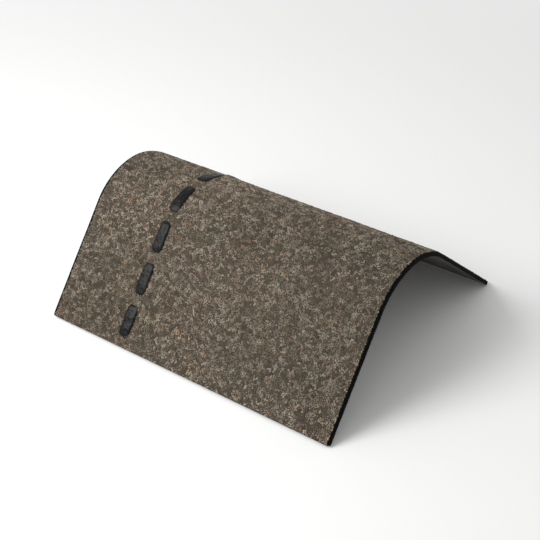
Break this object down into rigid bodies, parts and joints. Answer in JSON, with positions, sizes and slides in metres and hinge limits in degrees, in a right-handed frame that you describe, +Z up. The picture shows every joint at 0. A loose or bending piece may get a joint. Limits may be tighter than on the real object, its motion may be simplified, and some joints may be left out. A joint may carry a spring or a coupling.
{
  "type": "hip and ridge cap shingle",
  "caption": "Asphalt ridge cap shingle, bent to an upside-down V with a round crown, granule-faced above, with a dashed self-seal strip across its headlap.",
  "frame": {"origin": "on the floor under the middle of the cap, which stands on its two lower edges", "axes": "+X along the ridge towards the butt, the end that stays in view; +Y across the ridge; +Z up"},
  "size_m": [0.305, 0.2454, 0.1027],
  "materials": {
    "granule_sheet": "matte mineral granules bedded in asphalt, brown grey",
    "sealant": "glossy black asphalt sealant"
  },
  "bodies": {
    "root": {"cap_sheet": "granule_sheet", "self_seal_strip": "sealant"}
  },
  "joints": []
}
